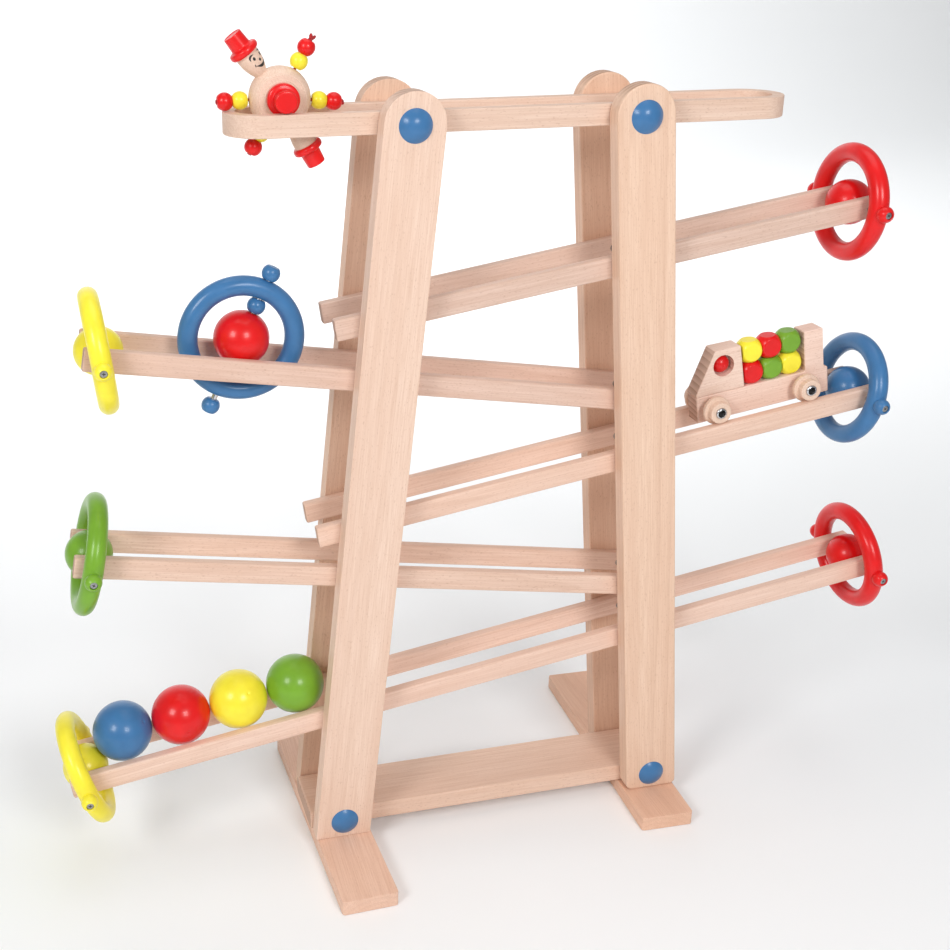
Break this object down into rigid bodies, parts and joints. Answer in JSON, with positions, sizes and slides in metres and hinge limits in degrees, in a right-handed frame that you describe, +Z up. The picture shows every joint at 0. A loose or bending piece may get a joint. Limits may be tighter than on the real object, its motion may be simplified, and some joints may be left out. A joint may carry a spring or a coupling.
{
  "type": "marble run",
  "caption": "Wooden marble run toy: leaning posts carry zigzag two-rail ramps with end rings, loose balls, a ball in a ring, a truck and a tumbling clown.",
  "frame": {"origin": "middle of the bounding box at floor level", "axes": "+X along the ramps towards the right end seen from the front, +Y from the front to the back, +Z up"},
  "size_m": [0.7528, 0.2832, 0.6936],
  "materials": {
    "wood": "smooth bare beech",
    "red_paint": "gloss paint on wood",
    "blue_paint": "gloss paint on wood",
    "yellow_paint": "gloss paint on wood",
    "green_paint": "gloss paint on wood"
  },
  "bodies": {
    "stand": {"cap_low_left_back": "blue_paint", "cap_low_left_front": "blue_paint", "cap_low_right_back": "blue_paint", "cap_low_right_front": "blue_paint", "cap_top_left_back": "blue_paint", "cap_top_left_front": "blue_paint", "cap_top_right_back": "blue_paint", "cap_top_right_front": "blue_paint", "foot_left": "wood", "foot_right": "wood", "post_left_back": "wood", "post_left_front": "wood", "post_right_back": "wood", "post_right_front": "wood", "rail_1_back": "wood", "rail_1_front": "wood", "rail_2_back": "wood", "rail_2_front": "wood", "rail_3_back": "wood", "rail_3_front": "wood", "rail_4_back": "wood", "rail_4_front": "wood", "rail_5_back": "wood", "rail_5_front": "wood", "stop_ball_1_right": "red_paint", "stop_ball_2_left": "yellow_paint", "stop_ball_3_right": "blue_paint", "stop_ball_4_left": "green_paint", "stop_ball_5_left": "yellow_paint", "stop_ball_5_right": "red_paint", "stretcher": "wood", "top_loop": "wood"},
    "end_ring_1_right": {"end_ring_1_right": "red_paint"},
    "end_ring_2_left": {"end_ring_2_left": "yellow_paint"},
    "end_ring_3_right": {"end_ring_3_right": "blue_paint"},
    "end_ring_4_left": {"end_ring_4_left": "green_paint"},
    "end_ring_5_left": {"end_ring_5_left": "yellow_paint"},
    "end_ring_5_right": {"end_ring_5_right": "red_paint"},
    "ball_blue": {"loose_ball_blue": "blue_paint"},
    "ball_red": {"loose_ball_red": "red_paint"},
    "ball_yellow": {"loose_ball_yellow": "yellow_paint"},
    "ball_green": {"loose_ball_green": "green_paint"},
    "roller": {"roller_ring": "blue_paint"},
    "roller_core": {"roller_ball": "red_paint"},
    "truck": {"truck_bed": "wood", "truck_cab": "wood", "cargo_low_1": "red_paint", "cargo_low_2": "green_paint", "cargo_low_3": "yellow_paint", "cargo_top_1": "yellow_paint", "cargo_top_2": "red_paint", "cargo_top_3": "green_paint"},
    "wheels_front": {"truck_wheels_front": "wood"},
    "wheels_rear": {"truck_wheels_rear": "wood"},
    "clown_axle": {"clown_hubs": "red_paint"},
    "clown": {"clown_figure": "wood", "clown_arm_left": "red_paint", "clown_arm_lower": "red_paint", "clown_arm_right": "red_paint", "clown_arm_upper": "red_paint"}
  },
  "joints": [
    {"name": "swing_1_right", "type": "hinge", "parent": "stand", "child": "end_ring_1_right", "pos_m": [0.31006, -0.01547, 0.5416], "axis": [0, 1, 0], "range_deg": [-47.8, 42.2]},
    {"name": "swing_2_left", "type": "hinge", "parent": "stand", "child": "end_ring_2_left", "pos_m": [-0.32024, -0.01547, 0.45913], "axis": [0, 1, 0], "range_deg": [-38.2, 51.8]},
    {"name": "swing_3_right", "type": "hinge", "parent": "stand", "child": "end_ring_3_right", "pos_m": [0.33306, -0.01547, 0.37328], "axis": [0, 1, 0], "range_deg": [-46.2, 33.8]},
    {"name": "swing_4_left", "type": "hinge", "parent": "stand", "child": "end_ring_4_left", "pos_m": [-0.33814, -0.01547, 0.29], "axis": [0, 1, 0], "range_deg": [-57.7, 32.3]},
    {"name": "swing_5_left", "type": "hinge", "parent": "stand", "child": "end_ring_5_left", "pos_m": [-0.35374, -0.01547, 0.09139], "axis": [0, 1, 0], "range_deg": [-24.4, 18.6]},
    {"name": "swing_5_right", "type": "hinge", "parent": "stand", "child": "end_ring_5_right", "pos_m": [0.35726, -0.01547, 0.20515], "axis": [0, 1, 0], "range_deg": [-38.4, 51.6]},
    {"name": "roll_blue", "type": "slide", "parent": "stand", "child": "ball_blue", "axis": [0.9874, 0, 0.158], "range_m": [0, 0.06]},
    {"name": "roll_red", "type": "slide", "parent": "ball_blue", "child": "ball_red", "axis": [0.9874, 0, 0.158], "range_m": [0, 0.06]},
    {"name": "roll_yellow", "type": "slide", "parent": "ball_red", "child": "ball_yellow", "axis": [0.9874, 0, 0.158], "range_m": [0, 0.06]},
    {"name": "roll_green", "type": "slide", "parent": "ball_yellow", "child": "ball_green", "axis": [0.9874, 0, 0.158], "range_m": [0, 0.06]},
    {"name": "roller_run", "type": "slide", "parent": "stand", "child": "roller", "axis": [0.9874, 0, -0.158], "range_m": [0, 0.31]},
    {"name": "roller_spin", "type": "hinge", "parent": "roller", "child": "roller_core", "pos_m": [-0.21029, -0.01547, 0.46097], "axis": [0.4368, 0, 0.8996], "continuous": true},
    {"name": "truck_run", "type": "slide", "parent": "stand", "child": "truck", "axis": [-0.9874, 0, -0.158], "range_m": [0, 0.3]},
    {"name": "wheels_front_turn", "type": "hinge", "parent": "truck", "child": "wheels_front", "pos_m": [0.19631, -0.01547, 0.37008], "axis": [0, 1, 0], "continuous": true},
    {"name": "wheels_rear_turn", "type": "hinge", "parent": "truck", "child": "wheels_rear", "pos_m": [0.28025, -0.01547, 0.38351], "axis": [0, 1, 0], "continuous": true},
    {"name": "clown_run", "type": "slide", "parent": "stand", "child": "clown_axle", "axis": [1, 0, 0], "range_m": [0, 0.335]},
    {"name": "clown_tip", "type": "hinge", "parent": "clown_axle", "child": "clown", "pos_m": [-0.17694, -0.01547, 0.6439], "axis": [0, 1, 0], "range_deg": [0, 13]}
  ],
  "couplings": [
    {"joint": "wheels_front_turn", "follows": "truck_run", "rad_per_m": -106.38},
    {"joint": "wheels_rear_turn", "follows": "truck_run", "rad_per_m": -106.38}
  ]
}
